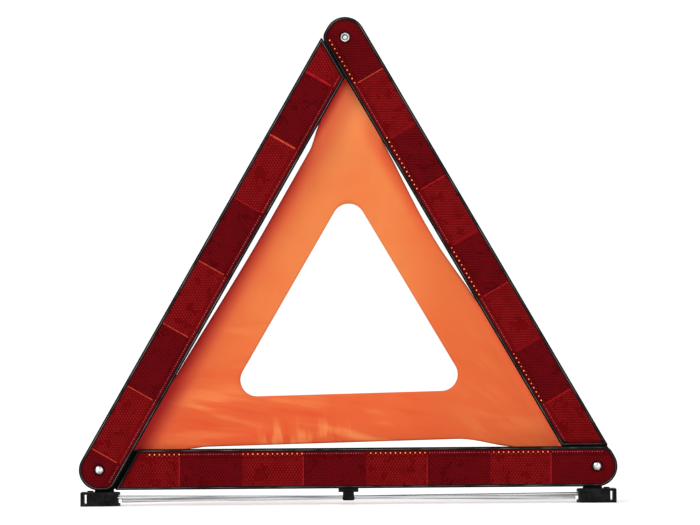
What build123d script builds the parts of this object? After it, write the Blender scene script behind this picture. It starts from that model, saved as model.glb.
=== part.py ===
from build123d import *
from math import cos, pi, radians, sin
import os

# Folding emergency warning triangle. Millimetres, +X to the viewer's right, +Y to the rear, +Z up.
# The origin is on the ground, under the middle of the bottom arm.

# Triangle of rivets
rivet_pitch = 405.0          # rivet to rivet, the same on all three arms
base_clearance = 12.9        # ground to the bottom edge of the base arm

# Arms, each a shallow tray with a reflex lens let into its front
arm_width = 33.0
arm_thickness = 5.5
rim_width = 2.5
floor_thickness = 2.1
lens_sink = 0.4              # lens front below the rim
lens_play = 0.15             # between the lens edge and the rim
tray_end_gap = 0.1           # from a tray's slanted end to its neighbour's inner edge
base_end_gap = 2.6           # the same at the base arm, where it is wider
inner_corner_radius = 9.0
tip_radius = 0.9             # at the sharp corner of a slanted end
right_toe_radius = 11.0      # of the right lens and its pocket, at the inner corner of the slanted end
right_heel_radius = 1.5      # the same at the outer corner
edge_round = 0.7
front_layer_gap = 0.5        # between the left arm and the base arm, in depth
rear_layer_gap = 1.9         # between the base arm and the right arm, with the film in it

# Shallow pockets in the back of each arm
back_pocket_depth = 0.8
back_pocket_border = 5.0
back_rib = 3.0
back_pocket_count = 6
back_pocket_corner = 2.0
back_pocket_start = 24.0     # from the rivet of the round end
back_pocket_stop = 44.0      # from the rivet of the slanted end

# Pivot rivets
shank_radius = 2.5
running_gap = 0.06           # radial, shank in a hole that turns on it
axial_gap = 0.1
head_radius = 4.0
head_height = 2.3
head_rim_height = 0.7
head_curve_at = 0.6          # share of the head's radius where its curve is set
lens_hole_radius = 4.75
tail_radius = 4.2
tail_height = 0.8
tail_dimple_radius = 1.2
tail_gap = 0.15              # film to the tail, for the film's lean
bush_radius = 5.5
bush_bore_gap = 0.05
washer_radius = 6.0
washer_thickness = 0.35
tongue_margin = 0.8          # a tongue is this much narrower than its arm, each side

# Snap at the apex: a hollow eyelet in the right arm, a springy tongue with a stud on the left arm
eyelet_hole_radius = 2.3
eyelet_tube_radius = 3.2
eyelet_flange_height = 1.0
eyelet_bead = 0.5            # how far the rolled flange is rounded, and its outer edge
eyelet_throat = 0.3          # depth of the rolled throat
eyelet_back_height = 0.35
latch_width = 10.0
latch_thickness = 1.0
latch_back_gap = 0.15        # between the back of the film and the tongue
latch_root_length = 16.0
latch_slope_length = 30.0
latch_end_radius = 5.5
stud_radius = 2.0
stud_head_radius = 3.4
stud_flange_height = 0.5
stud_nose_chamfer = 0.6
stud_nose_gap = 0.3          # nose to the eyelet's seat
latch_rivet_radius = 1.2
latch_rivet_head_radius = 2.2
latch_rivet_head_height = 0.4
latch_bed_gap = 0.1          # round the tongue's root in its bed in the arm's back
latch_rivet_pitch = 8.0

# Fluorescent film, a flat sheet that leans from the base arm's back to the right arm's back
film_thickness = 0.4
film_gap_at_left = 0.25      # film front to the base arm's back, at the left rivet
film_gap_at_right = 0.65     # film front to the right arm's back, at its rivets
film_tuck = 6.0              # how far the film reaches behind an arm's inner edge
film_window_side = 194.0     # between the sharp corners of the window
film_window_radius = 13.5
film_tab_radius = 5.8
film_scallops = {            # along an arm from its round end: start, end, depth past the inner edge
    "base": (71.0, 330.0, 4.6),
    "left": (98.0, 331.0, 3.8),
    "right": (90.0, 236.0, 3.8),
}
film_hole_gap = 0.15

# Feet, swivelling on moulded spigots under the base arm
foot_pivot_inset = 4.0       # pivot inboard of the rivet
foot_height = 11.5
foot_half_depth = 13.0       # also the radius of its inboard end
foot_outboard = 19.3
foot_corner = 1.5
foot_edge = 0.8
neck_width = 15.6
neck_gap = 0.1               # between the neck and the top of the foot
neck_root = 4.0              # how far a neck's web runs up the base arm's back
spigot_radius = 4.0
foot_bore_step = 3.0         # height of the shoulder that the washer holds
foot_counterbore = 5.8
foot_relief_depth = 0.8
foot_relief_length = 9.4
foot_relief_offset = 5.0     # relief centre, outboard of the pivot
foot_slot_width = 2.2
foot_slot_height = 7.7
foot_slot_offset = 4.0       # slot centre from the outboard end
foot_slot_lift = 1.9
nub_radius = 2.5
nub_height = 1.1
nub_offset = 11.5            # outboard of the pivot
foot_recess_depth = 1.3
foot_recess_low = 2.4
foot_recess_high = 9.0
screw_radius = 1.4
screw_length = 11.4
screw_head_radius = 2.9
screw_head_height = 1.6
screw_drive_size = 2.0
screw_drive_depth = 0.9
foot_washer_radius = 5.4
foot_washer_thickness = 0.6

# Steel leg rods and their clip
rod_radius = 1.6
rod_depth_offset = 2.2       # each rod's distance from the middle plane
rod_root_height = 7.0
rod_tip_height = 4.2
rod_grip = 7.5               # length held in its foot
rod_tip_gap = 1.0            # tip to the other foot
rod_tip_chamfer = 0.4
clip_width = 9.8
clip_neck_width = 9.0
clip_top_width = 16.3
clip_top_low = 9.9
clip_jaw_low = 3.2
clip_jaw_high = 6.9
clip_jaw_thickness = 1.3
clip_play = 0.1
clip_chamfer = 0.9
clip_peg_radius = 1.0
clip_peg_length = 1.6

half_width = arm_width / 2
lens_thickness = arm_thickness - floor_thickness - lens_sink
rivet_x = rivet_pitch / 2
rivet_z = base_clearance + half_width
apex_z = rivet_z + rivet_pitch * sin(radians(60))

# Depth of each arm's front face
base_front = -arm_thickness / 2
left_front = base_front - front_layer_gap - arm_thickness
right_front = base_front + arm_thickness + rear_layer_gap
base_back = base_front + arm_thickness
left_back = left_front + arm_thickness
right_back = right_front + arm_thickness

# Depth of the film's middle at the left rivet and along the right arm
film_left_y = base_back + film_gap_at_left + film_thickness / 2
film_right_y = right_back + film_gap_at_right + film_thickness / 2
film_tilt = (film_right_y - film_left_y) / (apex_z - rivet_z)
film_back_at_right = film_right_y + film_thickness / 2


def arm_plane(arm, depth):
    """Plane of an arm: x from its round end to the next rivet, y to the inside, z to the rear."""
    start, turn = {
        "base": ((rivet_x, rivet_z), 180),
        "left": ((-rivet_x, rivet_z), 60),
        "right": ((0, apex_z), -60),
    }[arm]
    along = (cos(radians(turn)), 0, sin(radians(turn)))
    return Plane(origin=(start[0], depth, start[1]), x_dir=along, z_dir=(0, 1, 0))


def corner_at(sketch, x, y):
    """The sketch's vertex nearest to a point."""
    return sketch.vertices().sort_by_distance((x, y, 0))[0]


def tray_outline(end_gap):
    """Outline of a tray: round about one rivet, cut slantwise beside the next arm."""
    slope = cos(radians(30))
    tip_x = -half_width * 1.5 / slope
    knee_x = -half_width * 0.5 / slope
    cut_inner_x = rivet_pitch - (1.5 * half_width + end_gap) / slope
    cut_outer_x = rivet_pitch - (0.5 * half_width + end_gap) / slope
    shape = make_face(Polyline(
        (tip_x, -half_width), (cut_outer_x, -half_width),
        (cut_inner_x, half_width), (knee_x, half_width), close=True,
    ))
    shape = fillet(corner_at(shape, tip_x, -half_width), half_width)
    shape = fillet(corner_at(shape, knee_x, half_width), inner_corner_radius)
    return fillet(corner_at(shape, cut_outer_x, -half_width), tip_radius)


def lens_outline(arm, end_gap, inset):
    """Outline of an arm's lens or its pocket: the tray's outline drawn in."""
    shape = offset(tray_outline(end_gap), -inset, kind=Kind.INTERSECTION)
    if arm == "right":
        shape = fillet(shape.vertices().sort_by(Axis.X)[-1], right_heel_radius)
        toe_x = rivet_pitch - (1.5 * half_width + end_gap) / cos(radians(30))
        shape = fillet(corner_at(shape, toe_x, half_width), right_toe_radius)
    return shape


def tongue_outline():
    """Plate that runs on from a tray to the next rivet."""
    half = half_width - tongue_margin
    length = rivet_pitch / 4
    strip = Pos(rivet_pitch - length / 2, 0) * Rectangle(length, 2 * half)
    return strip + Pos(rivet_pitch, 0) * Circle(half)


def back_pockets():
    """Row of shallow pockets in the back of a tray, with ribs between."""
    span = rivet_pitch - back_pocket_start - back_pocket_stop
    step = (span + back_rib) / back_pocket_count
    pocket = RectangleRounded(step - back_rib, arm_width - 2 * back_pocket_border, back_pocket_corner)
    places = [Pos(back_pocket_start + step * (i + 0.5) - back_rib / 2, 0) for i in range(back_pocket_count)]
    return Sketch() + [place * pocket for place in places]


def arm_housing(arm, front, end_gap, tongue):
    """Black moulded tray of one arm, with its rim, back pockets and rivet holes."""
    face = arm_plane(arm, front)
    outline = tray_outline(end_gap)
    body = extrude(face * outline, arm_thickness)
    front_edges = body.faces().sort_by(Axis.Y)[0].edges()
    body = fillet(front_edges, edge_round)
    floor_plane = arm_plane(arm, front + arm_thickness - floor_thickness)
    if tongue:
        body += extrude(floor_plane * tongue_outline(), floor_thickness)
    pocket = lens_outline(arm, end_gap, rim_width)
    body -= extrude(face * pocket, arm_thickness - floor_thickness)
    back = arm_plane(arm, front + arm_thickness - back_pocket_depth)
    body -= extrude(back * back_pockets(), back_pocket_depth)
    return body


def bore(solid, arm, front, at, radius):
    """Drill a hole through an arm at a distance along it."""
    face = arm_plane(arm, front)
    return solid - extrude(face * Pos(at, 0) * Circle(radius), arm_thickness)


def arm_lens(arm, front, end_gap):
    """Red reflex lens, let into the tray, with a well for the rivet's head."""
    face = arm_plane(arm, front + lens_sink)
    blank = lens_outline(arm, end_gap, rim_width + lens_play)
    return extrude(face * (blank - Circle(lens_hole_radius)), lens_thickness)


def turned(points, x, z):
    """Solid of revolution about an axis along Y, from radius and depth pairs."""
    profile = make_face(Polyline(*[(radius, depth) for radius, depth in points], close=True))
    flat = Plane(origin=(0, 0, 0), x_dir=(1, 0, 0), z_dir=(0, 0, 1))
    return Pos(x, 0, z) * revolve(flat * profile, Axis.Y)


def pivot_rivet(x, seat_y, tail_y):
    """Semi-tubular rivet: domed head on a floor, shank, rolled tail with a dimple."""
    under_head = seat_y - axial_gap
    rim_y = under_head - head_rim_height
    crown_y = under_head - head_height
    end_y = tail_y + tail_height
    dome_radius = (head_radius ** 2 + (rim_y - crown_y) ** 2) / (2 * (rim_y - crown_y))
    dome_centre = crown_y + dome_radius
    mid = head_radius * head_curve_at
    mid_y = dome_centre - (dome_radius ** 2 - mid ** 2) ** 0.5
    outline = (
        ThreePointArc((0, crown_y), (mid, mid_y), (head_radius, rim_y))
        + Polyline((head_radius, rim_y), (head_radius, under_head), (shank_radius, under_head),
                   (shank_radius, tail_y), (tail_radius, tail_y), (tail_radius, end_y - tail_height / 2),
                   (tail_radius - tail_height / 2, end_y), (tail_dimple_radius, end_y),
                   (tail_dimple_radius, end_y - tail_height),
                   (0, end_y - tail_height), (0, crown_y))
    )
    return Pos(x, 0, rivet_z) * revolve(make_face(outline), Axis.Y)


def ring(x, z, inner, outer, low_y, high_y):
    """Flat ring about an axis along Y."""
    return turned([(inner, low_y), (outer, low_y), (outer, high_y), (inner, high_y)], x, z)


def apex_eyelet():
    """Hollow eyelet rolled into the round end of the right arm."""
    seat = right_back - floor_thickness
    back = right_back + eyelet_back_height
    return turned([
        (eyelet_hole_radius, seat - eyelet_flange_height + eyelet_throat),
        (eyelet_hole_radius + eyelet_throat, seat - eyelet_flange_height),
        (head_radius - eyelet_bead, seat - eyelet_flange_height),
        (head_radius, seat - eyelet_flange_height + eyelet_bead),
        (head_radius, seat), (eyelet_tube_radius, seat), (eyelet_tube_radius, right_back),
        (head_radius, right_back), (head_radius, back), (eyelet_hole_radius, back),
    ], 0, apex_z)


latch_front = film_back_at_right + latch_back_gap
latch_root_x = rivet_pitch - latch_slope_length - latch_end_radius - half_width - tray_end_gap


def latch_tongue():
    """Springy strip: lies on the left arm's back, slopes to the rear, ends behind the right arm."""
    flat_start = rivet_pitch - half_width - latch_end_radius / 2
    side = Plane(origin=arm_plane("left", 0).origin, x_dir=arm_plane("left", 0).x_dir,
                 z_dir=arm_plane("left", 0).y_dir)
    bed = left_back - latch_thickness
    # side.y points forwards, so depth is its negative
    strip = make_face(Polyline(
        (latch_root_x - latch_root_length, -bed),
        (latch_root_x - latch_root_length, -left_back),
        (latch_root_x, -left_back),
        (flat_start, -latch_front - latch_thickness),
        (rivet_pitch + latch_end_radius, -latch_front - latch_thickness),
        (rivet_pitch + latch_end_radius, -latch_front),
        (flat_start, -latch_front),
        (latch_root_x, -bed),
        close=True,
    ))
    body = extrude(side * strip, latch_width / 2, both=True)
    room = (Pos(rivet_pitch / 2, 0) * Rectangle(rivet_pitch, latch_width)
            + Pos(rivet_pitch, 0) * Circle(latch_end_radius))
    body &= extrude(arm_plane("left", left_front) * room, latch_front + latch_thickness - left_front)
    for at in latch_rivet_places():
        hole = arm_plane("left", bed) * Pos(at, 0) * Circle(latch_rivet_radius)
        body -= extrude(hole, latch_thickness)
        sink = arm_plane("left", left_back - latch_rivet_head_height) * Pos(at, 0)
        body -= extrude(sink * Circle(latch_rivet_head_radius), latch_rivet_head_height)
    stud_hole = arm_plane("left", latch_front) * Pos(rivet_pitch, 0) * Circle(stud_radius)
    return body - extrude(stud_hole, latch_thickness)


def latch_bed():
    """Bed for the springy tongue's root, sunk into the left arm's back and open towards the apex."""
    start = latch_root_x - latch_root_length - latch_bed_gap
    room = Pos((start + rivet_pitch) / 2, 0) * Rectangle(rivet_pitch - start,
                                                        latch_width + 2 * latch_bed_gap)
    return extrude(arm_plane("left", left_back - latch_thickness) * room, latch_thickness)


def latch_rivet_places():
    """Distances along the left arm of the two rivets that hold the springy tongue."""
    middle = latch_root_x - latch_root_length / 2
    return [middle - latch_rivet_pitch / 2, middle + latch_rivet_pitch / 2]


def latch_stud():
    """Stud of the snap: its head behind the tongue, its nose in the eyelet."""
    back = latch_front + latch_thickness
    nose = right_back - floor_thickness + stud_nose_gap
    return turned([
        (0, nose), (stud_radius - stud_nose_chamfer, nose), (stud_radius, nose + stud_nose_chamfer),
        (stud_radius, back),
        (stud_head_radius, back), (stud_head_radius, back + stud_flange_height / 2),
        (stud_head_radius - stud_flange_height / 2, back + stud_flange_height),
        (0, back + stud_flange_height),
    ], 0, apex_z)


def latch_rivets():
    """Two small rivets through the left arm's floor and the springy tongue."""
    low = left_back - floor_thickness
    head_y = left_back - latch_rivet_head_height
    group = []
    for at in latch_rivet_places():
        centre = arm_plane("left", 0) * Pos(at, 0)
        group.append(turned([
            (0, low), (latch_rivet_radius, low), (latch_rivet_radius, head_y),
            (latch_rivet_head_radius, head_y), (latch_rivet_head_radius, left_back), (0, left_back),
        ], centre.position.X, centre.position.Z))
    return Compound(children=group)


def leaned(flat_film):
    """Lean a flat piece about the line of the right arm's rivets, as the film leans."""
    foot = Vector(rivet_x, film_right_y, rivet_z)
    top = Vector(0, film_right_y, apex_z)
    lean = film_tilt * 180 / pi
    return flat_film.rotate(Axis(foot, top - foot), lean)


def film():
    """Fluorescent sheet with a triangular window, hung on the rivets by its three corners."""
    depth = film_right_y - film_thickness / 2
    flat = Plane(origin=(0, depth, 0), x_dir=(-1, 0, 0), z_dir=(0, 1, 0))
    centre_z = (2 * rivet_z + apex_z) / 3
    inner = half_width - film_tuck
    side = rivet_pitch - 2 * inner * 3 ** 0.5
    corner_reach = side / 3 ** 0.5
    window_reach = film_window_side / 3 ** 0.5
    rivet_reach = rivet_pitch / 3 ** 0.5
    tab = Rectangle(rivet_reach / 3, 2 * film_tab_radius, align=(Align.MAX, Align.CENTER))
    tab = Pos(rivet_reach, 0) * (tab + Circle(film_tab_radius))
    outer = RegularPolygon(corner_reach, 3, rotation=90)
    for heading in (90, 210, 330):
        outer += Rot(0, 0, heading) * tab
    window = RegularPolygon(window_reach, 3, rotation=90)
    window = fillet(window.vertices(), film_window_radius)
    sheet = extrude(flat * Pos(0, centre_z) * (outer - window), film_thickness)
    for arm, (start, end, depth_in) in film_scallops.items():
        edge = ThreePointArc((start, half_width), ((start + end) / 2, half_width + depth_in),
                             (end, half_width))
        back = Polyline((end, half_width), (end, 0), (start, 0), (start, half_width))
        cut = arm_plane(arm, depth) * make_face(edge + back)
        sheet -= extrude(cut, film_thickness)
    hole = shank_radius + film_hole_gap
    for x, z, radius in ((rivet_x, rivet_z, hole), (-rivet_x, rivet_z, hole), (0, apex_z, head_radius)):
        spot = Plane(origin=(x, depth, z), x_dir=(1, 0, 0), z_dir=(0, 1, 0))
        sheet -= extrude(spot * Circle(radius), film_thickness)
    return leaned(sheet)


def neck(side):
    """Moulded neck and spigot that a foot turns on, under the base arm."""
    x = side * (rivet_x - foot_pivot_inset)
    low = foot_height + neck_gap
    block = Pos(x, 0, low) * Box(neck_width, arm_thickness, base_clearance - low,
                                 align=(Align.CENTER, Align.CENTER, Align.MIN))
    web_depth = base_back - floor_thickness / 2
    block += Pos(x, web_depth, low) * Box(neck_width, floor_thickness, base_clearance + neck_root - low,
                                          align=(Align.CENTER, Align.CENTER, Align.MIN))
    foot_end = foot_bore_step - axial_gap
    pin = Pos(x, 0, foot_end) * Cylinder(spigot_radius, low - foot_end,
                                         align=(Align.CENTER, Align.CENTER, Align.MIN))
    return block + pin


def foot(side):
    """Swivelling foot: round inboard end about its pivot, slot and nub outboard."""
    x = side * (rivet_x - foot_pivot_inset)
    plan = Circle(foot_half_depth) + Rectangle(foot_outboard, 2 * foot_half_depth,
                                               align=(Align.MIN, Align.CENTER))
    plan = fillet(plan.vertices().sort_by(Axis.X)[-2:], foot_corner)
    body = extrude(plan, foot_height)
    top_edges = body.faces().sort_by(Axis.Z)[-1].edges()
    body = fillet(top_edges, foot_edge)
    shell = extrude(Circle(2 * foot_half_depth) - Circle(foot_half_depth - foot_recess_depth),
                    foot_recess_high - foot_recess_low)
    inner_side = Box(foot_half_depth, 2 * foot_half_depth, foot_height,
                     align=(Align.MAX, Align.CENTER, Align.MIN))
    body -= (Pos(0, 0, foot_recess_low) * shell) & inner_side
    body -= Cylinder(spigot_radius + running_gap, foot_height,
                     align=(Align.CENTER, Align.CENTER, Align.MIN))
    body -= Cylinder(foot_counterbore, foot_bore_step, align=(Align.CENTER, Align.CENTER, Align.MIN))
    relief_at = foot_relief_offset + foot_counterbore / 2
    body -= Pos(relief_at, 0) * Box(foot_relief_length, 2 * foot_half_depth, foot_relief_depth,
                                    align=(Align.CENTER, Align.CENTER, Align.MIN))
    slot = Box(foot_slot_width, 2 * foot_half_depth, foot_slot_height,
               align=(Align.CENTER, Align.CENTER, Align.MIN))
    body -= Pos(foot_outboard - foot_slot_offset, 0, foot_slot_lift) * slot
    nub = Cylinder(nub_radius, nub_height + foot_edge, align=(Align.CENTER, Align.CENTER, Align.MIN))
    nub = fillet(nub.faces().sort_by(Axis.Z)[-1].edges(), nub_height / 2)
    body += Pos(nub_offset, 0, foot_height - foot_edge) * nub
    body = Rot(0, 0, 0 if side > 0 else 180) * body
    return Pos(x, 0, 0) * body - rod(side)


def rod_ends(side):
    """Root end inside its own foot and free tip short of the other foot."""
    pivot_x = rivet_x - foot_pivot_inset
    mouth_x = pivot_x - foot_half_depth
    drop = (rod_root_height - rod_tip_height) / (2 * mouth_x)
    y = side * rod_depth_offset
    root = Vector(side * (mouth_x + rod_grip), y, rod_root_height + drop * rod_grip)
    tip = Vector(-side * (mouth_x - rod_tip_gap), y, rod_tip_height + drop * rod_tip_gap)
    return root, tip


def rod(side):
    """Steel leg rod, straight, with a chamfered tip."""
    root, tip = rod_ends(side)
    line = tip - root
    blank = extrude(Plane(origin=root, z_dir=line) * Circle(rod_radius), line.length)
    end_face = blank.faces().filter_by(GeomType.PLANE).sort_by_distance(tip)[0]
    return chamfer(end_face.edges(), rod_tip_chamfer)


def foot_screw(side):
    """Pan-head screw, driven up into the spigot from under the foot."""
    x = side * (rivet_x - foot_pivot_inset)
    seat = foot_bore_step - axial_gap - foot_washer_thickness
    bottom = Align.CENTER, Align.CENTER, Align.MIN
    head = Cylinder(screw_head_radius, screw_head_height, align=bottom)
    head = fillet(head.faces().sort_by(Axis.Z)[0].edges(), screw_head_height / 3)
    blade = screw_head_radius * 0.3
    head -= Box(2 * screw_drive_size, blade, screw_drive_depth, align=bottom)
    head -= Box(blade, 2 * screw_drive_size, screw_drive_depth, align=bottom)
    shank = Pos(0, 0, screw_head_height) * Cylinder(screw_radius, screw_length, align=bottom)
    return Pos(x, 0, seat - screw_head_height) * (head + shank)


def foot_washer(side):
    """Washer between the screw's head and the spigot, which holds the foot's shoulder."""
    x = side * (rivet_x - foot_pivot_inset)
    disc = Circle(foot_washer_radius) - Circle(screw_radius)
    seat = foot_bore_step - axial_gap - foot_washer_thickness
    return Pos(x, 0, seat) * extrude(disc, foot_washer_thickness)


def rod_clip():
    """Springy clip under the base arm, with a jaw in front of each rod and a web between them."""
    half_depth = rod_depth_offset + rod_radius + clip_play + clip_jaw_thickness
    middle = (rod_root_height + rod_tip_height) / 2
    roof = middle + rod_radius + clip_play
    low = Align.CENTER, Align.CENTER, Align.MIN
    body = Pos(0, 0, clip_jaw_low) * Box(clip_width, 2 * half_depth, clip_jaw_high - clip_jaw_low, align=low)
    body = chamfer(body.edges().filter_by(Axis.Y), clip_chamfer)
    body += Pos(0, 0, clip_jaw_high) * Box(clip_neck_width, 2 * half_depth, clip_top_low - clip_jaw_high,
                                           align=low)
    body += Pos(0, 0, clip_top_low) * Box(clip_top_width, arm_thickness, base_clearance - clip_top_low,
                                          align=low)
    body += Pos(0, 0, base_clearance) * Cylinder(clip_peg_radius, clip_peg_length, align=low)
    channel = Box(2 * clip_top_width, 2 * (rod_radius + clip_play), roof, align=low)
    for side in (-1, 1):
        body -= Pos(0, side * rod_depth_offset, 0) * channel
    return body


def make_parts():
    """Every node of the triangle, by name."""
    base_floor = base_back - floor_thickness
    left_floor = left_back - floor_thickness
    right_floor = right_back - floor_thickness
    turning = shank_radius + running_gap

    base = arm_housing("base", base_front, base_end_gap, tongue=True) + neck(-1) + neck(1)
    base = bore(base, "base", base_front, 0, shank_radius)
    base = bore(base, "base", base_front, rivet_pitch, shank_radius)
    base -= rod_clip()
    left = bore(arm_housing("left", left_front, tray_end_gap, tongue=False), "left", left_front, 0, turning)
    right = arm_housing("right", right_front, tray_end_gap, tongue=True)
    right = bore(right, "right", right_front, 0, eyelet_tube_radius)
    right = bore(right, "right", right_front, rivet_pitch, turning)

    parts = {
        "base_housing": base - foot_screw(-1) - foot_screw(1),
        "left_housing": left - latch_bed() - latch_rivets(),
        "right_housing": right,
        "base_lens": arm_lens("base", base_front, base_end_gap),
        "left_lens": arm_lens("left", left_front, tray_end_gap),
        "right_lens": arm_lens("right", right_front, tray_end_gap),
        "left_pivot_rivet": pivot_rivet(-rivet_x, left_floor, film_left_y + film_thickness / 2 + tail_gap),
        "right_pivot_rivet": pivot_rivet(rivet_x, base_floor, film_back_at_right + tail_gap),
        "left_pivot_bush": ring(-rivet_x, rivet_z, shank_radius + bush_bore_gap, bush_radius,
                                left_back + axial_gap, base_floor),
        "right_pivot_bush": ring(rivet_x, rivet_z, shank_radius + bush_bore_gap, bush_radius,
                                 base_back, right_floor - axial_gap),
        "right_pivot_washer": ring(rivet_x, rivet_z, shank_radius + bush_bore_gap, washer_radius,
                                   right_back + axial_gap, right_back + axial_gap + washer_thickness),
        "apex_eyelet": apex_eyelet(),
        "latch_tongue": latch_tongue(),
        "latch_stud": latch_stud(),
        "latch_rivets": latch_rivets(),
        "fluorescent_film": film(),
        "rod_clip": rod_clip(),
    }
    for name, side in (("left", -1), ("right", 1)):
        parts[name + "_foot"] = foot(side)
        parts[name + "_foot_screw"] = foot_screw(side)
        parts[name + "_foot_washer"] = foot_washer(side)
        parts[name + "_leg_rod"] = rod(side)
    return parts


os.makedirs("parts", exist_ok=True)
for name, solid in make_parts().items():
    export_step(solid, "parts/" + name + ".step")
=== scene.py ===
from math import atan2, cos, floor, pi, radians, sin, sqrt, tan
import bmesh
import bpy
from mathutils import Matrix, Vector, geometry, noise


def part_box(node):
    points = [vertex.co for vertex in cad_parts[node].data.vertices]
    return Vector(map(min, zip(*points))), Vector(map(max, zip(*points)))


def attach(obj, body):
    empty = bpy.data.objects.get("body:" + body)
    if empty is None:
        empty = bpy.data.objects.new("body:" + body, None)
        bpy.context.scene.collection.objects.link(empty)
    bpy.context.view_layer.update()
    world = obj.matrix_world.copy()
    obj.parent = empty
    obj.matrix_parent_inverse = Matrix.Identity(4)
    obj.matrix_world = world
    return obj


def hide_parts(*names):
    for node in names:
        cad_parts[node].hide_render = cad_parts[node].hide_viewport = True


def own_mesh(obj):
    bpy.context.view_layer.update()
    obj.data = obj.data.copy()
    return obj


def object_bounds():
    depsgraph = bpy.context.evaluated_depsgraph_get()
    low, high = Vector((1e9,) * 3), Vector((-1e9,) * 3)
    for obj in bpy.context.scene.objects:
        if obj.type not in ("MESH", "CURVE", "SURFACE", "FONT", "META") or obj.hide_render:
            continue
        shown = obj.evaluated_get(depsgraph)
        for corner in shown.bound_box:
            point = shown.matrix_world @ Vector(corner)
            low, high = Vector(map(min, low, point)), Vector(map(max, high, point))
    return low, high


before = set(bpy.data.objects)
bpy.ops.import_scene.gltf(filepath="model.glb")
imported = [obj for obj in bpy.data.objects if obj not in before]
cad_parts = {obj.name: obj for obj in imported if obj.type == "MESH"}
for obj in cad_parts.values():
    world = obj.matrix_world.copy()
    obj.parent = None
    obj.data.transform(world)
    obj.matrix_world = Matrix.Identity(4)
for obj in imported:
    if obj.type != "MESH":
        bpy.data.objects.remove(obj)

cad_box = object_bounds()

# --- Camera -----------------------------------------------------------------
# Straight in front of the triangle, close to the height of its middle, with a long lens and a slight roll.
# It stands a touch to the right of the middle and below it.
low, high = (Vector(corner) for corner in cad_box)
middle = (low + high) / 2
camera_distance = 6.0
frame_width = 0.5695
camera_right = 0.0027
camera_drop = 0.0017
camera_roll = radians(0.44)
camera_data = bpy.data.cameras.new("camera")
camera_data.sensor_width = 36.0
camera_data.lens = camera_data.sensor_width * camera_distance / frame_width
camera_data.clip_end = 50.0
camera = bpy.data.objects.new("camera", camera_data)
camera.location = (camera_right, middle.y - camera_distance, middle.z - camera_drop)
camera.rotation_euler = (pi / 2, camera_roll, 0.0)
bpy.context.collection.objects.link(camera)
bpy.context.scene.camera = camera
bpy.context.scene.view_settings.view_transform = "Standard"

# --- Floor and light ----------------------------------------------------------
# A white floor under an even white sky, as in a light tent. A soft key stands at the upper left
# and a weaker, wider fill at the right.
floor_reach = 6.0
sky_strength = 1.04
floor_mesh = bpy.data.meshes.new("floor")
bm = bmesh.new()
bmesh.ops.create_grid(bm, x_segments=1, y_segments=1, size=floor_reach)
bm.to_mesh(floor_mesh)
bm.free()
floor_object = bpy.data.objects.new("floor", floor_mesh)
bpy.context.collection.objects.link(floor_object)
floor_material = bpy.data.materials.new("white floor")
floor_material.use_nodes = True
floor_shader = floor_material.node_tree.nodes["Principled BSDF"]
floor_shader.inputs["Base Color"].default_value = (1.0, 1.0, 1.0, 1.0)
floor_shader.inputs["Roughness"].default_value = 1.0
floor_shader.inputs["Specular IOR Level"].default_value = 0.0
floor_object.data.materials.append(floor_material)

world = bpy.data.worlds.new("studio")
bpy.context.scene.world = world
world.use_nodes = True
world.node_tree.nodes["Background"].inputs["Color"].default_value = (1.0, 1.0, 1.0, 1.0)
world.node_tree.nodes["Background"].inputs["Strength"].default_value = sky_strength


def softbox(name, place, size, power):
    """A square area light at place, turned towards the triangle's middle."""
    data = bpy.data.lights.new(name, "AREA")
    data.energy = power
    data.size = size
    lamp = bpy.data.objects.new(name, data)
    lamp.location = place
    lamp.rotation_euler = (middle - Vector(place)).to_track_quat("-Z", "Y").to_euler()
    bpy.context.collection.objects.link(lamp)


softbox("key", (-1.3, -1.5, 1.7), 0.8, 26.0)
softbox("fill", (1.5, -1.8, 0.9), 1.2, 8.0)

# --- Black arm housings ---------------------------------------------------------
# Three injection-moulded trays in black ABS, each round at one rivet and cut slantwise short of the next.
# The mould's spark-eroded surface shows as a fine grain. A raised bead runs round the rim, painted a lighter
# grey than the tray and brighter in patches: a painted highlight along the rim's ridge.
mm = 0.001


def shader_of(name, colour, roughness, specular=0.5, metallic=0.0, coat=0.0):
    """A new material, its node tree and its shader, with the plain values set."""
    material = bpy.data.materials.new(name)
    material.use_nodes = True
    tree = material.node_tree
    shader = tree.nodes["Principled BSDF"]
    shader.inputs["Base Color"].default_value = (*colour, 1.0)
    shader.inputs["Roughness"].default_value = roughness
    shader.inputs["Specular IOR Level"].default_value = specular
    shader.inputs["Metallic"].default_value = metallic
    shader.inputs["Coat Weight"].default_value = coat
    return material, tree, shader


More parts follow.
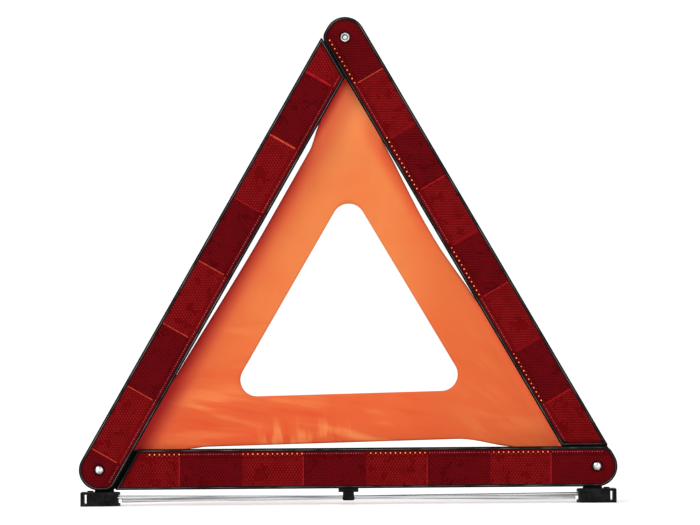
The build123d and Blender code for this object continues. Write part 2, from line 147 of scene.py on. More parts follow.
def surface_wear_group():
    """Node group: blends a colour towards a patch colour in noisy patches, wear on some materials and painted
    light on others, and gives roughness and a fine bump.
    """
    group = bpy.data.node_groups.new("wear and painted light patches", "ShaderNodeTree")
    for socket, kind in (("Colour", "NodeSocketColor"), ("Patch colour", "NodeSocketColor"),
                         ("Patch scale", "NodeSocketFloat"), ("Patch amount", "NodeSocketFloat"),
                         ("Roughness", "NodeSocketFloat"), ("Roughness spread", "NodeSocketFloat"),
                         ("Grain scale", "NodeSocketFloat"), ("Grain depth", "NodeSocketFloat"),
                         ("Stretch", "NodeSocketVector")):
        group.interface.new_socket(socket, in_out="INPUT", socket_type=kind)
    for socket, kind in (("Colour", "NodeSocketColor"), ("Roughness", "NodeSocketFloat"),
                         ("Normal", "NodeSocketVector")):
        group.interface.new_socket(socket, in_out="OUTPUT", socket_type=kind)
    nodes, links = group.nodes, group.links
    given = nodes.new("NodeGroupInput")
    result = nodes.new("NodeGroupOutput")
    place = nodes.new("ShaderNodeTexCoord")
    stretch = nodes.new("ShaderNodeVectorMath")
    stretch.operation = "MULTIPLY"
    links.new(place.outputs["Object"], stretch.inputs[0])
    links.new(given.outputs["Stretch"], stretch.inputs[1])
    patches = nodes.new("ShaderNodeTexNoise")
    patches.inputs["Detail"].default_value = 5.0
    links.new(stretch.outputs["Vector"], patches.inputs["Vector"])
    links.new(given.outputs["Patch scale"], patches.inputs["Scale"])
    edge = nodes.new("ShaderNodeMapRange")
    edge.inputs["From Min"].default_value = 0.42
    edge.inputs["From Max"].default_value = 0.72
    links.new(patches.outputs["Fac"], edge.inputs["Value"])
    amount = nodes.new("ShaderNodeMath")
    amount.operation = "MULTIPLY"
    links.new(edge.outputs["Result"], amount.inputs[0])
    links.new(given.outputs["Patch amount"], amount.inputs[1])
    mix = nodes.new("ShaderNodeMix")
    mix.data_type = "RGBA"
    links.new(amount.outputs["Value"], mix.inputs["Factor"])
    links.new(given.outputs["Colour"], mix.inputs["A"])
    links.new(given.outputs["Patch colour"], mix.inputs["B"])
    links.new(mix.outputs["Result"], result.inputs["Colour"])
    spread = nodes.new("ShaderNodeMath")
    spread.operation = "MULTIPLY_ADD"
    links.new(patches.outputs["Fac"], spread.inputs[0])
    links.new(given.outputs["Roughness spread"], spread.inputs[1])
    links.new(given.outputs["Roughness"], spread.inputs[2])
    links.new(spread.outputs["Value"], result.inputs["Roughness"])
    grain = nodes.new("ShaderNodeTexNoise")
    grain.inputs["Detail"].default_value = 3.0
    links.new(stretch.outputs["Vector"], grain.inputs["Vector"])
    links.new(given.outputs["Grain scale"], grain.inputs["Scale"])
    bump = nodes.new("ShaderNodeBump")
    bump.inputs["Strength"].default_value = 1.0
    links.new(grain.outputs["Fac"], bump.inputs["Height"])
    links.new(given.outputs["Grain depth"], bump.inputs["Distance"])
    links.new(bump.outputs["Normal"], result.inputs["Normal"])
    return group


wear_and_light_group = surface_wear_group()


def wear_and_light_patches(material_parts, colour, patch_colour, patch_scale, patch_amount, roughness, spread,
         grain_scale, grain_depth, stretch=(1.0, 1.0, 1.0)):
    """Put the group of wear and painted-light patches in front of a material's shader."""
    material, tree, shader = material_parts
    wear = tree.nodes.new("ShaderNodeGroup")
    wear.node_tree = wear_and_light_group
    wear.inputs["Colour"].default_value = (*colour, 1.0)
    wear.inputs["Patch colour"].default_value = (*patch_colour, 1.0)
    wear.inputs["Patch scale"].default_value = patch_scale
    wear.inputs["Patch amount"].default_value = patch_amount
    wear.inputs["Roughness"].default_value = roughness
    wear.inputs["Roughness spread"].default_value = spread
    wear.inputs["Grain scale"].default_value = grain_scale
    wear.inputs["Grain depth"].default_value = grain_depth
    wear.inputs["Stretch"].default_value = stretch
    tree.links.new(wear.outputs["Colour"], shader.inputs["Base Color"])
    tree.links.new(wear.outputs["Roughness"], shader.inputs["Roughness"])
    tree.links.new(wear.outputs["Normal"], shader.inputs["Normal"])
    return material


black_plastic = wear_and_light_patches(shader_of("black moulded plastic", (0.002, 0.0015, 0.0015), 0.45, specular=0.05),
                     (0.0016, 0.0012, 0.0012), (0.008, 0.006, 0.006), 90.0, 0.6, 0.4, 0.25, 2600.0, 0.00005)
# The rim bead's lighter grey, brighter in patches, is a painted highlight along the rim's ridge
rim_bead_highlight_plastic = wear_and_light_patches(shader_of("rim bead painted highlight", (0.03, 0.024, 0.024), 0.35, specular=0.2),
                    (0.012, 0.008, 0.008), (0.15, 0.12, 0.12), 55.0, 1.0, 0.3, 0.2, 2600.0, 0.00002)


def dress(node, material):
    """Give a frame node one material in all its slots."""
    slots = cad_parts[node].data.materials
    for index in range(len(slots)):
        slots[index] = material


for node in ("base_housing", "left_housing", "right_housing"):
    dress(node, black_plastic)


def centre_of(node):
    """Middle of a frame node's box."""
    corner, opposite = (Vector(end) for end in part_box(node))
    return (corner + opposite) / 2


left_rivet = centre_of("left_pivot_rivet")
right_rivet = centre_of("right_pivot_rivet")
apex_rivet = centre_of("apex_eyelet")
pitch = right_rivet.x - left_rivet.x
half_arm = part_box("base_housing")[1][2] - left_rivet.z
rim = 2.5 * mm
rim_play = 0.15 * mm
lens_sink = 0.4 * mm
# Each arm's round end and the rivet at its other end, and the gap from its slanted end to the next arm
arm_ends = {"base": (right_rivet, left_rivet), "left": (left_rivet, apex_rivet),
            "right": (apex_rivet, right_rivet)}
end_gaps = {"base": 2.6 * mm, "left": 0.1 * mm, "right": 0.1 * mm}
arm_bodies = {"base": "base", "left": "left_arm", "right": "right_arm"}


def arm_matrix(arm, depth):
    """Place of an arm's own frame: x from its round end to the next rivet, y to the inside, z to the rear."""
    start, end = arm_ends[arm]
    along = Vector((end.x - start.x, 0.0, end.z - start.z)).normalized()
    rear = Vector((0.0, 1.0, 0.0))
    inward = rear.cross(along)
    turn = Matrix((along, inward, rear)).transposed().to_4x4()
    return Matrix.Translation((start.x, depth, start.z)) @ turn


def arm_outline(bm, arm, inset, knee_radius, toe_radius=0.0, heel_radius=0.0):
    """Flat face in the shape of an arm, drawn in from its edge by inset, with round corners if given."""
    half = half_arm - inset
    cut = half_arm + end_gaps[arm] + inset
    slope = cos(pi / 6)
    round_start = bm.verts.new((0.0, -half, 0.0))
    bmesh.ops.spin(bm, geom=[round_start], cent=(0.0, 0.0, 0.0), axis=(0.0, 0.0, 1.0), angle=-2 * pi / 3,
                   steps=24)
    round_end = sorted(bm.verts, key=lambda vertex: atan2(vertex.co.y, vertex.co.x) % (2 * pi))
    heel = bm.verts.new((pitch - (cut - half / 2) / slope, -half, 0.0))
    toe = bm.verts.new((pitch - (cut + half / 2) / slope, half, 0.0))
    knee = bm.verts.new((-half * 0.5 / slope, half, 0.0))
    bm.faces.new([heel, toe, knee] + round_end)
    for corner, radius, half_angle in ((knee, knee_radius, pi / 3), (toe, toe_radius, pi / 3),
                                       (heel, heel_radius, pi / 6)):
        if radius > 0:
            bmesh.ops.bevel(bm, geom=[corner], affect="VERTICES", offset=radius / tan(half_angle), segments=8,
                            profile=0.5, material=-1)


def finished(bm, name, body, materials):
    """Turn a bmesh into an object that rides on a body, with the given materials."""
    mesh = bpy.data.meshes.new(name)
    bm.to_mesh(mesh)
    bm.free()
    piece = bpy.data.objects.new(name, mesh)
    bpy.context.collection.objects.link(piece)
    for material in materials:
        mesh.materials.append(material)
    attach(piece, body)
    return piece


bead_inset = 1.15 * mm
bead_knee_radius = 7.8 * mm
bead_width = 0.55 * mm
bead_height = 0.22 * mm
for arm in arm_ends:
    bm = bmesh.new()
    arm_outline(bm, arm, bead_inset, bead_knee_radius)
    ring = bmesh.ops.inset_region(bm, faces=bm.faces[:], thickness=bead_width, use_boundary=True,
                                  use_even_offset=True)["faces"]
    bmesh.ops.delete(bm, geom=[face for face in bm.faces if face not in ring], context="FACES")
    wall = bmesh.ops.extrude_face_region(bm, geom=bm.faces[:])["geom"]
    top = [part for part in wall if isinstance(part, bmesh.types.BMVert)]
    bmesh.ops.translate(bm, verts=top, vec=(0.0, 0.0, -bead_height))
    bmesh.ops.recalc_face_normals(bm, faces=bm.faces[:])
    crown = [edge for edge in bm.edges if all(v.co.z < -bead_height / 2 for v in edge.verts)
             and edge.calc_face_angle(0.0) > 0.5]
    bmesh.ops.bevel(bm, geom=crown, affect="EDGES", offset=bead_height * 0.7, segments=2, profile=0.5,
                    material=-1)
    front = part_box(arm + "_housing")[0][1] if arm != "base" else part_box("base_lens")[0][1] - lens_sink
    bmesh.ops.transform(bm, matrix=arm_matrix(arm, front), verts=bm.verts[:])
    finished(bm, arm + "_rim_bead", arm_bodies[arm], [rim_bead_highlight_plastic])

# --- Red reflex lenses ------------------------------------------------------------
# One polycarbonate strip per arm, welded into its tray, moulded all over with small prisms. The prisms lie
# in alternate fields of one red, painted darker and lighter as painted shade and painted light, most of them
# parted by a plain line; facets turned up and outwards are painted lighter still, as glints. A row of larger
# beads runs along the edge that faces the triangle's middle, painted lit, amber with a faint painted glow, in
# some fields and unlit, rose, in the others.
lens_thickness = 3.0 * mm
cell = 2.05 * mm
prism_depth = 0.42 * mm
lens_knee_radius = 6.3 * mm
right_toe_radius = 11.0 * mm
right_heel_radius = 1.5 * mm
well_radius = 4.75 * mm
well_collar = 1.3 * mm
well_search = 4.0 * mm
half_lens = half_arm - rim - rim_play
# The band that carries the beads, along the inner edge, and the rows in it
bead_band = 4.1 * mm
bead_low = half_lens - bead_band
bead_pitch = 4.0 * mm
large_drop = 1.8 * mm
small_bead = 0.4 * mm
bead_start = -6.0 * mm
bead_proud = 0.05 * mm
bead_margin = {"base": 6.5 * mm, "left": 1.5 * mm, "right": 1.5 * mm}
first_field = {"base": 37.0 * mm, "left": 12.0 * mm, "right": 37.0 * mm}
field_length = {"base": 50.4 * mm, "left": 58.6 * mm, "right": 50.4 * mm}
SHADED_FIELD, SHADED_FIELD_GLINT, LIT_FIELD, LIT_FIELD_GLINT, ORANGE, RED, FADE, LIT_BEAD, UNLIT_BEAD = range(9)
# The large beads' radius, and how far below the lens's inner edge the small ones lie
bead_sizes = {LIT_BEAD: (0.56 * mm, 3.3 * mm), UNLIT_BEAD: (0.5 * mm, 1.8 * mm)}
# The line at the start of each field after the first: its shade and its width
thin, thick, faint, none = (ORANGE, 0.8 * mm), (RED, 1.0 * mm), (FADE, 3.2 * mm), (FADE, 0.0)
field_lines = {
    "base": [thick, none, thick, none, thick, none, thick],
    "left": [thin, thin, thin, thin, (RED, 0.6 * mm), (ORANGE, 1.6 * mm), (RED, 2.0 * mm)],
    "right": [thin, faint, thick, faint, thick, faint, thick],
}


def reflex(name, colour, patch_colour, roughness, grain=130.0, painted_glow=0.0):
    """Polycarbonate over prisms, in two mottled colours."""
    parts = shader_of(name, colour, roughness, specular=0.012)
    # An emission, where given, is a painted glow of a lit bead; the bead is no lamp
    if painted_glow:
        parts[2].inputs["Emission Color"].default_value = (*colour, 1.0)
        parts[2].inputs["Emission Strength"].default_value = painted_glow
    return wear_and_light_patches(parts, colour, patch_colour, grain, 0.8, roughness, 0.2, 900.0, 0.00002)


lens_materials = [
    # The shaded and lit fields are one red painted darker and lighter; the glints, the lit beads and their
    # glow are painted light
    reflex("reflex field painted shaded", (0.066, 0.0008, 0.0018), (0.105, 0.0015, 0.003), 0.35),
    reflex("painted glint on shaded field", (0.135, 0.003, 0.006), (0.09, 0.002, 0.004), 0.3),
    reflex("reflex field painted lit", (0.115, 0.0015, 0.0022), (0.09, 0.001, 0.002), 0.35),
    reflex("painted glint on lit field", (0.215, 0.008, 0.010), (0.15, 0.004, 0.005), 0.3),
    reflex("orange dividing line", (0.40, 0.042, 0.020), (0.17, 0.005, 0.006), 0.3, grain=420.0),
    reflex("red dividing line", (0.27, 0.006, 0.010), (0.17, 0.003, 0.006), 0.3, grain=300.0),
    reflex("faint dividing band", (0.15, 0.003, 0.005), (0.10, 0.002, 0.003), 0.3, grain=300.0),
    reflex("bead painted lit amber", (0.84, 0.36, 0.12), (0.55, 0.12, 0.03), 0.2, grain=160.0, painted_glow=0.2),
    reflex("bead painted unlit rose", (0.34, 0.075, 0.085), (0.13, 0.010, 0.014), 0.25, grain=160.0),
]


def trimmed(bm, at, heading, keep_positive):
    """Cut a flat sheet along a line through at, square to heading, and drop one side."""
    bmesh.ops.bisect_plane(bm, geom=bm.verts[:] + bm.edges[:] + bm.faces[:], plane_co=at, plane_no=heading,
                           clear_inner=keep_positive, clear_outer=not keep_positive)


def scored(bm, heading, spacing):
    """Cut a flat sheet into strips of equal width, square to heading."""
    reach = [vertex.co.dot(heading) for vertex in bm.verts]
    for step in range(floor(min(reach) / spacing) + 1, floor(max(reach) / spacing) + 1):
        bmesh.ops.bisect_plane(bm, geom=bm.verts[:] + bm.edges[:] + bm.faces[:],
                               plane_co=heading * (step * spacing), plane_no=heading)


def closed_tile(bm):
    """Give a flat sheet the lens's thickness, behind it."""
    rim_edges = [edge for edge in bm.edges if edge.is_boundary]
    made = bmesh.ops.extrude_edge_only(bm, edges=rim_edges)["geom"]
    back = [part for part in made if isinstance(part, bmesh.types.BMVert)]
    for vertex in back:
        vertex.co.z = lens_thickness
    back_edges = [part for part in made if isinstance(part, bmesh.types.BMEdge) and part.is_boundary]
    bmesh.ops.triangle_fill(bm, use_beauty=True, edges=back_edges)
    bmesh.ops.recalc_face_normals(bm, faces=bm.faces[:])


def lens_sheet(arm, start, end, low_side, high_side):
    """The part of an arm's lens between two distances along it and two heights across it."""
    bm = bmesh.new()
    toe_radius, heel_radius = (right_toe_radius, right_heel_radius) if arm == "right" else (0.0, 0.0)
    arm_outline(bm, arm, rim + rim_play, lens_knee_radius, toe_radius, heel_radius)
    trimmed(bm, (start, 0.0, 0.0), (1.0, 0.0, 0.0), True)
    trimmed(bm, (end, 0.0, 0.0), (1.0, 0.0, 0.0), False)
    trimmed(bm, (0.0, low_side, 0.0), (0.0, 1.0, 0.0), True)
    trimmed(bm, (0.0, high_side, 0.0), (0.0, 1.0, 0.0), False)
    return bm


def glinting(face, shade, patch_floor):
    """The shade of a prism's facet: those turned up and outwards get the next, lighter material as a painted
    glint, in uneven patches.
    """
    place = face.calc_center_median()
    turned = face.normal.x * 0.5 + face.normal.y * 0.87
    patch = noise.noise(Vector((place.x * 160, place.y * 160, 4.4))) + 0.5 * noise.noise(place * 900)
    return shade + 1 if turned > 0.12 and patch > patch_floor else shade


def field_tile(arm, start, end, low_side, high_side, with_well):
    """A field of prisms: small pits in a diamond lattice, and the rivet's well in the round end."""
    bm = lens_sheet(arm, start, end, low_side, high_side)
    for angle in (pi / 3, 2 * pi / 3):
        scored(bm, Vector((sin(angle), -cos(angle), 0.0)), cell)
    if with_well:
        near = [face for face in bm.faces if face.calc_center_median().length < well_radius + well_collar]
        bmesh.ops.delete(bm, geom=near, context="FACES")
        hole = [edge for edge in bm.edges if edge.is_boundary
                and (edge.verts[0].co + edge.verts[1].co).length / 2 < well_radius + well_search]
        round_edge = bmesh.ops.create_circle(bm, cap_ends=False, segments=36, radius=well_radius)["verts"]
        round_edges = list({edge for vertex in round_edge for edge in vertex.link_edges})
        collar = bmesh.ops.bridge_loops(bm, edges=hole + round_edges)["faces"]
        pits = [face for face in bm.faces if face not in collar]
    else:
        pits = bm.faces[:]
    centres = bmesh.ops.poke(bm, faces=pits)["verts"]
    bmesh.ops.translate(bm, verts=centres, vec=(0.0, 0.0, prism_depth))
    closed_tile(bm)
    return bm


def bead_rows(target, arm, start, end, shade):
    """A row of round beads at an even pitch, with smaller ones between them, lower in the amber rows."""
    amber = shade == LIT_BEAD
    large_bead, small_drop = bead_sizes[shade]
    for offset, drop, radius in ((0.0, large_drop, large_bead), (0.5, small_drop, small_bead)):
        for step in range(floor(start / bead_pitch), floor(end / bead_pitch) + 1):
            at = (step + offset) * bead_pitch
            slanted_end = pitch - (half_arm + end_gaps[arm] + rim + (half_lens - drop) / 2) / cos(pi / 6)
            if not max(start, bead_start) + radius < at < min(end, slanted_end - bead_margin[arm]) - radius:
                continue
            uneven = 1 + 0.25 * noise.noise(Vector((at * 700, drop * 900, 2.2)))
            bead = bmesh.new()
            bmesh.ops.create_icosphere(bead, subdivisions=2, radius=radius * uneven)
            bmesh.ops.scale(bead, vec=(1.0, 1.0, 0.6), verts=bead.verts[:])
            bmesh.ops.translate(bead, vec=(at, half_lens - drop, -bead_proud), verts=bead.verts[:])
            small_shade = ORANGE if amber and arm == "base" else (RED if amber else UNLIT_BEAD)
            gather(target, bead, lambda face: small_shade if offset else shade)


def gather(target, source, index_of_face):
    """Add one bmesh to another, with each face's material index."""
    for face in source.faces:
        face.material_index = index_of_face(face)
    scrap = bpy.data.meshes.new("tile")
    source.to_mesh(scrap)
    source.free()
    target.from_mesh(scrap)
    bpy.data.meshes.remove(scrap)


for arm in arm_ends:
    lens = bmesh.new()
    later = [first_field[arm] + step * field_length[arm] for step in range(len(field_lines[arm]))]
    starts = [-2 * half_arm] + later + [pitch]
    for number, (start, end) in enumerate(zip(starts, starts[1:])):
        bright = number % 2 == 1
        shade = LIT_FIELD if bright else SHADED_FIELD
        whole_start = start
        line, band = field_lines[arm][number - 1] if number else none
        if band:
            strip = lens_sheet(arm, start, start + band, -half_lens, bead_low)
            closed_tile(strip)
            gather(lens, strip, lambda face: line)
            start += band
        # Around the rivet every facet that is turned the right way gets the painted glint
        patch_floor = -0.35 if number else -1.0
        gather(lens, field_tile(arm, start, end, -half_lens, bead_low, number == 0),
               lambda face: glinting(face, shade, patch_floor))
        # Beads painted lit, amber, in these fields and unlit, rose, in the others
        lit = (arm == "base" and bright) or (arm == "right" and not bright)
        bead_rows(lens, arm, whole_start, end, LIT_BEAD if lit else UNLIT_BEAD)
        border = lens_sheet(arm, whole_start, end, bead_low, half_lens)
        closed_tile(border)
        gather(lens, border, lambda face: shade)
    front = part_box(arm + "_lens")[0][1]
    bmesh.ops.transform(lens, matrix=arm_matrix(arm, front), verts=lens.verts[:])
    piece = finished(lens, arm + "_reflex_lens", arm_bodies[arm], lens_materials)
    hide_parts(arm + "_lens")

# --- Fluorescent film -------------------------------------------------------------
# Orange coated sheet with a triangular window, punched at its corners and hung on the rivets. It is pulled
# tight between them, so its edges bow inwards and soft folds and puckers run from the corners, their light and
# shade partly painted into its colour. The side arms' shade along its edges is partly cast and partly painted,
# deep red beside the left one, with painted light close to the arms and at the apex.
film_box = [Vector(corner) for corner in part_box("fluorescent_film")]
film_lean = 0.33 * mm
film_thickness = 0.3 * mm
tucked = 10.5 * mm
tuck_run = 20 * mm
window_radius = 13.5 * mm
ear_radius = 5.8 * mm
ear_reach = 30 * mm
ear_lap = 0.35 * mm
pivot_hole = 2.9 * mm
eyelet_hole = 4.1 * mm
fold_run = 22 * mm
swell_depth = 1.6 * mm
ridge_depth = 0.9 * mm
crease_depth = 0.55 * mm
arm_distance = pitch / (2 * sqrt(3))
film_centre = Vector((0.0, 0.0, left_rivet.z + arm_distance))
around_count = 360
across_cuts = 22
side_headings = {"base": -pi / 2, "left": 5 * pi / 6, "right": pi / 6}
# Along each arm from its round end: where the edge leaves the arm and where it comes back, how far it bows
# at each of these, and how long its run in and its run out are
edge_bows = {
    "base": (72.0 * mm, 331.0 * mm, 7.2 * mm, 1.2 * mm, 42.0 * mm, 14.0 * mm),
    "left": (98.0 * mm, 332.0 * mm, 3.8 * mm, 3.9 * mm, 140.0 * mm, 22.0 * mm),
    "right": (90.0 * mm, 236.0 * mm, 3.9 * mm, 3.9 * mm, 80.0 * mm, 60.0 * mm),
}
# The window's sharp corners, seen from the film's middle: to the right and up
window_corners = ((1.8 * mm, 111.4 * mm), (-97.6 * mm, -58.6 * mm), (99.6 * mm, -54.4 * mm))


def eased(value):
    """Smooth step from 0 to 1."""
    value = min(max(value, 0.0), 1.0)
    return value * value * (3 - 2 * value)


def film_edge(arm, at):
    """How far inside an arm's rivet line the film's edge lies, at a distance along the arm."""
    start, end, first_bow, last_bow, run_in, run_out = edge_bows[arm]
    if start < at < end:
        share = (at - start) / (end - start)
        rise = eased((at - start) / run_in) * eased((end - at) / run_out)
        return half_arm + (first_bow + (last_bow - first_bow) * share) * rise ** 0.8
    beyond = max(start - at, at - end)
    return half_arm - (half_arm - tucked) * eased(beyond / tuck_run)


def side_of(heading):
    """The side that a direction from the film's centre meets, and its angle from square to that side."""
    def turn(arm):
        return (heading - side_headings[arm] + pi) % (2 * pi) - pi
    arm = min(side_headings, key=lambda name: abs(turn(name)))
    return arm, turn(arm)


def outer_reach(heading):
    """Distance from the centre to the film's outer edge."""
    arm, turn = side_of(heading)
    reach = (arm_distance - tucked) / cos(turn)
    for _ in range(6):
        # Seen from the front, headings grow anticlockwise and each arm runs clockwise
        at = pitch / 2 - reach * sin(turn)
        reach = (arm_distance - film_edge(arm, at)) / cos(turn)
    return reach


def window_reach(heading):
    """Distance from the centre to the edge of the window, a triangle with round corners."""
    inner = []
    for index, corner in enumerate(window_corners):
        here = Vector((*corner, 0.0))
        to_next = (Vector((*window_corners[(index + 1) % 3], 0.0)) - here).normalized()
        to_last = (Vector((*window_corners[index - 1], 0.0)) - here).normalized()
        half_angle = to_next.angle(to_last) / 2
        inner.append(here + (to_next + to_last).normalized() * (window_radius / sin(half_angle)))
    low, high = 0.0, 2 * arm_distance
    for _ in range(26):
        reach = (low + high) / 2
        point = Vector((reach * cos(heading), reach * sin(heading), 0.0))
        inside = (point - geometry.closest_point_on_tri(point, *inner)).length < window_radius
        low, high = (reach, high) if inside else (low, reach)
    return low


def film_depth(x, z):
    """Depth of the tight sheet: it leans from behind the base arm to behind the right arm."""
    from_right = (Vector((x, 0.0, z)) - Vector((right_rivet.x, 0.0, right_rivet.z))).dot(
        Vector((-cos(pi / 6), 0.0, -sin(pi / 6))))
    share = from_right / (pitch * cos(pi / 6))
    right_y = film_box[1].y - film_lean
    left_y = film_box[0].y + film_lean
    return right_y + (left_y - right_y) * share


def film_folds(x, z):
    """Soft folds to the rear, from nothing at the outer edge."""
    place = Vector((x, 0.0, z - film_centre.z))
    heading = atan2(place.z, x)
    slack = outer_reach(heading) - place.length
    arm, turn = side_of(heading)
    ease = eased(slack / fold_run)
    broad = 0.5 + 0.5 * noise.noise(Vector((x * 11, 3.1, z * 8)))
    ridge_line = abs(noise.noise(Vector((heading * 2.6, 7.7, place.length * 5))))
    ridges = max(0.0, 1.0 - ridge_line * 7)
    crease = max(0.0, 1.0 - abs(noise.noise(Vector((x * 16 + z * 9, 1.3, z * 14 - x * 4)))) * 9)
    low_side = eased((film_centre.z - z) / (60 * mm))
    crease *= 0.35 + 0.65 * low_side
    return ease * (swell_depth * broad + ridge_depth * ridges + crease_depth * crease)


bm = bmesh.new()
loops = []
for reach_of in (outer_reach, window_reach):
    verts = bmesh.ops.create_circle(bm, cap_ends=False, segments=around_count, radius=1.0)["verts"]
    for vertex in verts:
        heading = atan2(vertex.co.y, vertex.co.x)
        reach = reach_of(heading)
        vertex.co = film_centre + Vector((reach * cos(heading), 0.0, reach * sin(heading)))
    loops += list({edge for vertex in verts for edge in vertex.link_edges})
bmesh.ops.bridge_loops(bm, edges=loops)
spokes = [edge for edge in bm.edges if not edge.is_boundary]
bmesh.ops.subdivide_edges(bm, edges=spokes, cuts=across_cuts, use_grid_fill=True)
for vertex in bm.verts:
    x, _, z = vertex.co
    vertex.co.y = film_depth(x, z) + film_folds(x, z)
# Corner ears, welded behind the sheet and punched for the rivets
for rivet, hole in ((left_rivet, pivot_hole), (right_rivet, pivot_hole), (apex_rivet, eyelet_hole)):
    inward = (film_centre - Vector((rivet.x, 0.0, rivet.z))).normalized()
    ear = bmesh.ops.create_circle(bm, cap_ends=False, segments=40, radius=ear_radius)["verts"]
    punched = bmesh.ops.create_circle(bm, cap_ends=False, segments=40, radius=hole)["verts"]
    flat_turn = Matrix.Rotation(pi / 2, 3, "X")
    for vertex in ear:
        vertex.co = flat_turn @ vertex.co
        if vertex.co.dot(inward) > 0:
            vertex.co += inward * ear_reach * eased(vertex.co.dot(inward) / (2.5 * mm))
    for vertex in punched:
        vertex.co = flat_turn @ vertex.co
    edges = {edge for vertex in ear + punched for edge in vertex.link_edges}
    bmesh.ops.bridge_loops(bm, edges=list(edges))
    for vertex in ear + punched:
        x = vertex.co.x + rivet.x
        z = vertex.co.z + rivet.z
        vertex.co = Vector((x, film_depth(x, z) + ear_lap, z))
bmesh.ops.recalc_face_normals(bm, faces=bm.faces[:])
bmesh.ops.solidify(bm, geom=bm.faces[:], thickness=film_thickness)
bmesh.ops.recalc_face_normals(bm, faces=bm.faces[:])

film_material, film_tree, film_shader = shader_of("fluorescent orange film", (0.66, 0.15, 0.045), 0.5,
                                                  specular=0.06)
film_place = film_tree.nodes.new("ShaderNodeTexCoord")


def film_ramp(direction, start, end):
    """0 to 1 between two distances along a direction in the object's frame."""
    dot = film_tree.nodes.new("ShaderNodeVectorMath")
    dot.operation = "DOT_PRODUCT"
    dot.inputs[1].default_value = direction
    film_tree.links.new(film_place.outputs["Object"], dot.inputs[0])
    return film_span(dot.outputs["Value"], start, end)


def film_span(value, start, end):
    """0 to 1, smoothly, as a value goes from start to end."""
    span = film_tree.nodes.new("ShaderNodeMapRange")
    span.interpolation_type = "SMOOTHSTEP"
    span.inputs["From Min"].default_value = start
    span.inputs["From Max"].default_value = end
    film_tree.links.new(value, span.inputs["Value"])
    return span.outputs["Result"]


def film_both(first, second):
    """Product of two masks, each a socket or a number."""
    product = film_tree.nodes.new("ShaderNodeMath")
    product.operation = "MULTIPLY"
    for index, value in enumerate((first, second)):
        if isinstance(value, float):
            product.inputs[index].default_value = value
        else:
            film_tree.links.new(value, product.inputs[index])
    return product.outputs["Value"]


def film_mix(factor, first, second):
    """Blend two colours, given as sockets or values."""
    mix = film_tree.nodes.new("ShaderNodeMix")
    mix.data_type = "RGBA"
    film_tree.links.new(factor, mix.inputs["Factor"])
    for socket, value in (("A", first), ("B", second)):
        if isinstance(value, tuple):
            mix.inputs[socket].default_value = (*value, 1.0)
        else:
            film_tree.links.new(value, mix.inputs[socket])
    return mix.outputs["Result"]


def painted_fold_streaks(tone, mask, turn, along, across, strength):
    """Painted light on the crests and painted shade in the troughs of soft folds that run at an angle to the
    ground, inside a mask.
    """
    lay = film_tree.nodes.new("ShaderNodeMapping")
    lay.vector_type = "TEXTURE"
    lay.inputs["Rotation"].default_value = (0.0, radians(turn), 0.0)
    lay.inputs["Scale"].default_value = (along, 1.0, across)
    film_tree.links.new(film_place.outputs["Object"], lay.inputs["Vector"])
    folds = film_tree.nodes.new("ShaderNodeTexNoise")
    folds.inputs["Scale"].default_value = 1.0
    folds.inputs["Detail"].default_value = 2.0
    film_tree.links.new(lay.outputs["Vector"], folds.inputs["Vector"])
    mask = film_both(mask, strength)
    crests = film_both(film_span(folds.outputs["Fac"], 0.52, 0.68), mask)
    troughs = film_both(film_span(folds.outputs["Fac"], 0.48, 0.32), mask)
    return film_mix(troughs, film_mix(crests, tone, painted_crest_light), painted_trough_shade)


# Painted light for the folds' crests and painted shade for their troughs
painted_crest_light, painted_trough_shade = (0.70, 0.215, 0.068), (0.56, 0.062, 0.018)
up, right = (0.0, 0.0, 1.0), (1.0, 0.0, 0.0)
left_inward = (cos(-pi / 6), 0.0, sin(-pi / 6))
right_inward = (-cos(pi / 6), 0.0, -sin(pi / 6))
left_edge = Vector(left_inward).dot(left_rivet) + half_arm
right_edge = Vector(right_inward).dot(right_rivet) + half_arm
# Redder and deeper low down than high up, with a faint mottle
film_tone = film_mix(film_ramp(up, 0.055, 0.19), (0.585, 0.086, 0.026), (0.60, 0.166, 0.047))
film_noise = film_tree.nodes.new("ShaderNodeTexNoise")
film_noise.inputs["Scale"].default_value = 9.0
film_noise.inputs["Detail"].default_value = 4.0
film_tree.links.new(film_place.outputs["Object"], film_noise.inputs["Vector"])
film_tone = film_mix(film_span(film_noise.outputs["Fac"], 0.4, 0.75), film_tone, (0.60, 0.11, 0.03))
# Painted light and shade of the folds, in streaks: along the lower strip, from both lower corners, and in the
# puckers above the base
low_strip = film_ramp(up, 0.105, 0.078)
film_tone = painted_fold_streaks(film_tone, low_strip, 10.0, 0.10, 0.016, 0.8)
right_corner = film_both(film_ramp(right, 0.07, 0.11), film_ramp(up, 0.17, 0.13))
film_tone = painted_fold_streaks(film_tone, right_corner, 38.0, 0.07, 0.013, 0.75)
left_corner = film_both(film_ramp(right, -0.06, -0.09), film_ramp(up, 0.17, 0.13))
film_tone = painted_fold_streaks(film_tone, left_corner, 3.0, 0.09, 0.012, 0.3)
puckered = film_both(film_both(film_ramp(right, 0.022, 0.006), film_ramp(right, -0.082, -0.062)),
                     film_ramp(up, 0.074, 0.060))
film_tone = painted_fold_streaks(film_tone, puckered, 86.0, 0.035, 0.010, 0.6)
# Painted shade on the right side, turned a little away from the key
right_half = film_both(film_ramp(right, 0.03, 0.09), film_ramp(up, 0.27, 0.22))
film_tone = film_mix(film_both(right_half, 0.75), film_tone, (0.55, 0.100, 0.028))
unshaded_tone = film_tone
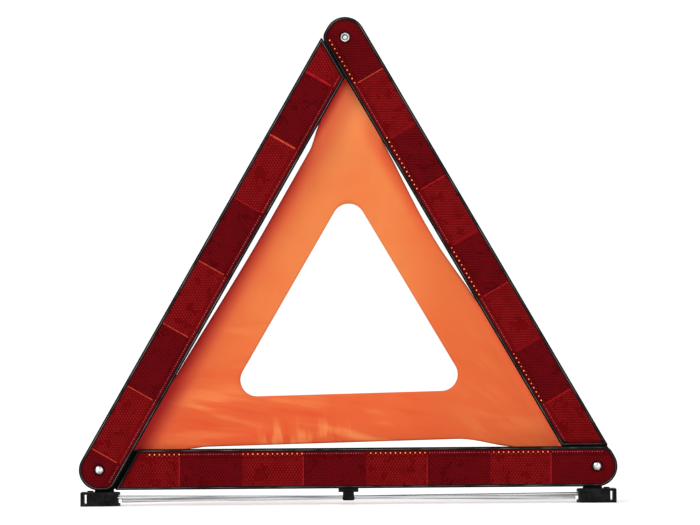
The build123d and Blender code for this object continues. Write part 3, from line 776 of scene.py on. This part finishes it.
# Painted shade where the sheet turns back behind the right arm, and painted light close to the arms where
# little light falls
right_shade = film_both(film_both(film_ramp(right_inward, right_edge + 15 * mm, right_edge + 4 * mm),
                                  film_ramp(up, 0.20, 0.25)), film_ramp(up, 0.335, 0.30))
film_tone = film_mix(film_both(right_shade, 0.75), film_tone, (0.55, 0.06, 0.022))
right_painted_light = film_both(film_ramp(right_inward, right_edge + 9 * mm, right_edge - 1 * mm),
                       film_ramp(up, 0.20, 0.15))
film_tone = film_mix(right_painted_light, film_tone, (0.80, 0.13, 0.045))
# Painted light towards the apex, where the arms would shade the sheet
film_tone = film_mix(film_ramp(up, 0.28, 0.345), film_tone, (0.84, 0.265, 0.088))
# Painted shade where the left arm keeps the light off it, narrower towards the apex: a redder tone under the
# arm's cast shadow and deep red nearest the arm
left_painted_red = film_ramp(left_inward, left_edge + 26 * mm, left_edge + 6 * mm)
film_tone = film_mix(film_both(left_painted_red, 0.8), film_tone, (0.74, 0.115, 0.045))
broad_shade = film_both(film_ramp(left_inward, left_edge + 18 * mm, left_edge + 1 * mm),
                        film_ramp(up, 0.31, 0.26))
film_tone = film_mix(broad_shade, film_tone, (0.38, 0.014, 0.012))
narrow_shade = film_both(film_ramp(left_inward, left_edge + 8 * mm, left_edge),
                         film_ramp(up, 0.26, 0.31))
film_tone = film_mix(narrow_shade, film_tone, (0.46, 0.018, 0.014))
# The arms' painted shade and light go on the front only; the back keeps the painted folds and the right side's
# painted shade
facing_back = film_tree.nodes.new("ShaderNodeSeparateXYZ")
film_tree.links.new(film_place.outputs["Normal"], facing_back.inputs["Vector"])
film_tone = film_mix(film_span(facing_back.outputs["Y"], -0.2, 0.2), film_tone, unshaded_tone)
film_tree.links.new(film_tone, film_shader.inputs["Base Color"])
film_grain = film_tree.nodes.new("ShaderNodeTexNoise")
film_grain.inputs["Scale"].default_value = 1400.0
film_tree.links.new(film_place.outputs["Object"], film_grain.inputs["Vector"])
film_bump = film_tree.nodes.new("ShaderNodeBump")
film_bump.inputs["Distance"].default_value = 0.00004
film_tree.links.new(film_grain.outputs["Fac"], film_bump.inputs["Height"])
film_tree.links.new(film_bump.outputs["Normal"], film_shader.inputs["Normal"])

film_piece = finished(bm, "fluorescent_film_sheet", "base", [film_material])
for face in film_piece.data.polygons:
    face.use_smooth = True
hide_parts("fluorescent_film")
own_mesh(film_piece)

# --- Rivets, bushes and washers ------------------------------------------------------
# Nickel-plated steel rivets with domed heads, and a hollow eyelet at the apex, with small dull dark patches.
# Plastic bushes between the arms and a steel washer under the right tail take the wear.
nickel = wear_and_light_patches(shader_of("nickel plate", (0.7, 0.7, 0.71), 0.25, metallic=1.0),
              (0.88, 0.88, 0.88), (0.06, 0.06, 0.055), 420.0, 1.0, 0.16, 0.35, 1500.0, 0.00003)
for node in ("left_pivot_rivet", "right_pivot_rivet", "apex_eyelet", "right_pivot_washer", "latch_rivets",
             "left_foot_screw", "right_foot_screw", "left_foot_washer", "right_foot_washer"):
    dress(node, nickel)
for node in ("left_pivot_bush", "right_pivot_bush"):
    dress(node, black_plastic)

# --- Springy latch -----------------------------------------------------------------
# A strip of springy black plastic, riveted to the left arm's back, with a steel stud that snaps into the
# eyelet from behind. Once it is let go it lies flat against its arm, so the arms can fold; here it is a fixed
# copy that rides on the left arm.
for node, material, slot_name in (("latch_tongue", black_plastic, "black_plastic"),
                                  ("latch_stud", nickel, "bright_steel")):
    bm = bmesh.new()
    bm.from_mesh(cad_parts[node].data)
    bmesh.ops.remove_doubles(bm, verts=bm.verts[:], dist=0.002 * mm)
    bmesh.ops.dissolve_limit(bm, angle_limit=radians(1.0), verts=bm.verts[:], edges=bm.edges[:])
    piece = finished(bm, "springy_" + node, "left_arm", [material])
    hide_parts(node)
    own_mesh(piece)

# --- Feet and rod clip ----------------------------------------------------------------
# Glass-filled nylon mouldings. The feet turn on spigots under the bottom arm, each held by a screw, and the
# clip is pegged into it. They are a little glossier than the arms, and more scuffed, as they meet the road.
foot_plastic = wear_and_light_patches(shader_of("black nylon", (0.003, 0.003, 0.003), 0.4, specular=0.07),
                    (0.0025, 0.0025, 0.0028), (0.013, 0.0135, 0.0145), 110.0, 0.8, 0.3, 0.25, 1800.0, 0.00006)
for node in ("left_foot", "right_foot", "rod_clip"):
    dress(node, foot_plastic)

# --- Leg rods ---------------------------------------------------------------------------
# Drawn steel rods, zinc plated, each pressed into its foot and stowed in the middle clip. Long dark streaks
# and dull grey patches run along them: drawing marks, and painted reflection of the dark lines that the
# shiny steel mirrors.
rod_steel_painted_streaks = wear_and_light_patches(shader_of("zinc-plated rod with painted dark streaks", (0.4, 0.4, 0.41), 0.28, metallic=1.0),
                 (0.72, 0.73, 0.74), (0.035, 0.036, 0.04), 620.0, 1.0, 0.14, 0.25, 1500.0, 0.00004,
                 stretch=(0.02, 1.0, 1.0))
for node in ("left_leg_rod", "right_leg_rod"):
    dress(node, rod_steel_painted_streaks)
